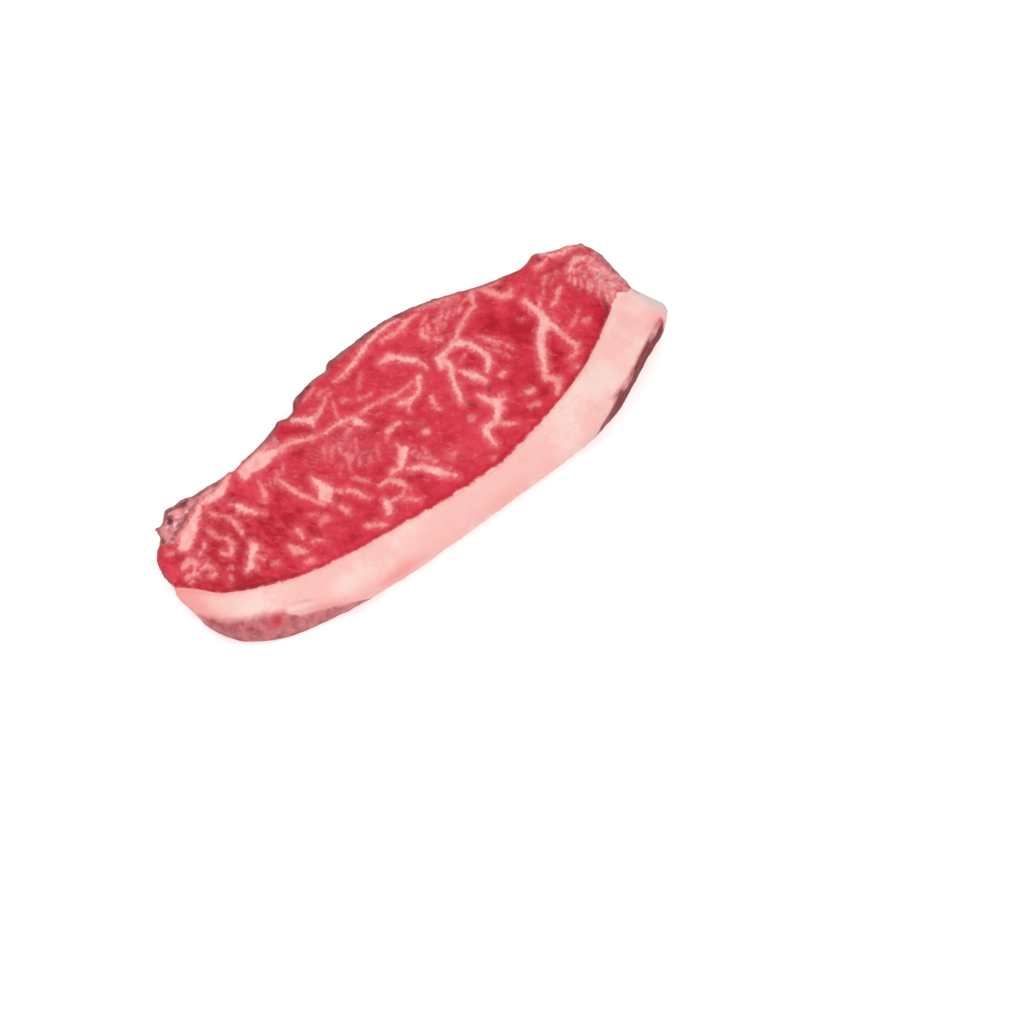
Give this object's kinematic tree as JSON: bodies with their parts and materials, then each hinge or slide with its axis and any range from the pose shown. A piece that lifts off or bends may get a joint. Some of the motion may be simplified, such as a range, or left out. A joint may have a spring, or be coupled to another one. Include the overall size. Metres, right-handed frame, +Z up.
{
  "type": "raw steak",
  "caption": "Raw sirloin cap steak, a crescent of marbled lean meat with its fat cap along the outer curve, lying flat on a cut face.",
  "frame": {"origin": "under the middle of the steak's bounding box, on the surface that it lies on", "axes": "+X along the steak, from its thin tip to its blunt end; -Y towards the fat cap; +Z up, out of the upper cut face"},
  "size_m": [0.1902, 0.079, 0.0207],
  "materials": {
    "lean": "raw marbled lean, moist",
    "fat": "raw fat, pale pink, soft sheen"
  },
  "bodies": {
    "root": {"lean_meat": "lean", "fat_cap": "fat"}
  },
  "joints": []
}
